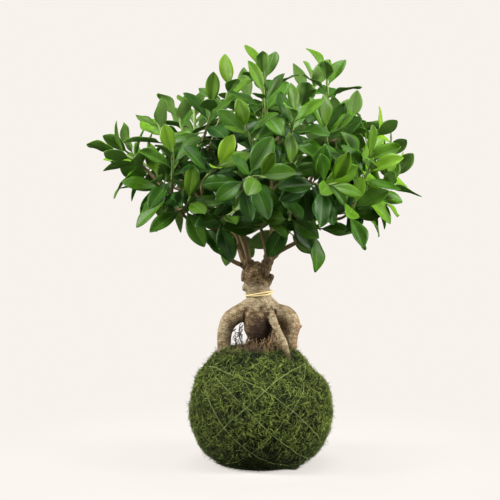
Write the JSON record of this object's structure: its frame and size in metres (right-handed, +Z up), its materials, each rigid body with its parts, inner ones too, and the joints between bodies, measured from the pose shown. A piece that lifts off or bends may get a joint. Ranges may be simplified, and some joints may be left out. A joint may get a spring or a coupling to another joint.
{
  "type": "kokedama moss ball plant",
  "caption": "Small ginseng fig with swollen roots and a rounded leafy crown, growing out of a soil ball wrapped in moss and thread, resting on a flat spot.",
  "frame": {"origin": "centre of the flat spot that the moss ball rests on", "axes": "+Z up along the trunk, -Y towards the front of the plant, +X to its right seen from the front"},
  "size_m": [0.327, 0.3133, 0.4204],
  "materials": {
    "moss": "matte, fibrous",
    "soil": "matte, crumbly",
    "thread": "matte",
    "raffia": "satin fibre",
    "bark": "rough bark",
    "leaf": "glossy leaf"
  },
  "bodies": {
    "root": {"moss_cover": "moss", "soil_ball": "soil", "binding_thread": "thread", "neck_tie": "raffia", "trunk_and_limbs": "bark", "left_low_shoot_1": "leaf", "left_low_shoot_2": "leaf", "left_low_shoot_3": "leaf", "left_low_shoot_4": "leaf", "left_low_shoot_5": "leaf", "left_main_shoot_1": "leaf", "left_main_shoot_2": "leaf", "left_main_shoot_3": "leaf", "left_main_shoot_4": "leaf", "left_main_shoot_5": "leaf", "left_front_shoot_1": "leaf", "left_front_shoot_2": "leaf", "left_front_shoot_3": "leaf", "front_shoot_1": "leaf", "front_shoot_2": "leaf", "front_shoot_3": "leaf", "centre_shoot_1": "leaf", "centre_shoot_2": "leaf", "centre_shoot_3": "leaf", "centre_shoot_4": "leaf", "right_main_shoot_1": "leaf", "right_main_shoot_2": "leaf", "right_main_shoot_3": "leaf", "right_main_shoot_4": "leaf", "right_main_shoot_5": "leaf", "centre_right_shoot_1": "leaf", "centre_right_shoot_2": "leaf", "centre_right_shoot_3": "leaf", "right_low_shoot_1": "leaf", "right_low_shoot_2": "leaf", "right_low_shoot_3": "leaf", "right_low_shoot_4": "leaf", "right_low_shoot_5": "leaf", "right_low_shoot_6": "leaf", "back_left_shoot_1": "leaf", "back_left_shoot_2": "leaf", "back_left_shoot_3": "leaf", "back_left_shoot_4": "leaf", "back_left_shoot_5": "leaf", "back_left_shoot_6": "leaf", "back_shoot_1": "leaf", "back_shoot_2": "leaf", "back_shoot_3": "leaf", "back_right_shoot_1": "leaf", "back_right_shoot_2": "leaf", "back_right_shoot_3": "leaf", "back_right_shoot_4": "leaf", "back_right_shoot_5": "leaf"}
  },
  "joints": []
}
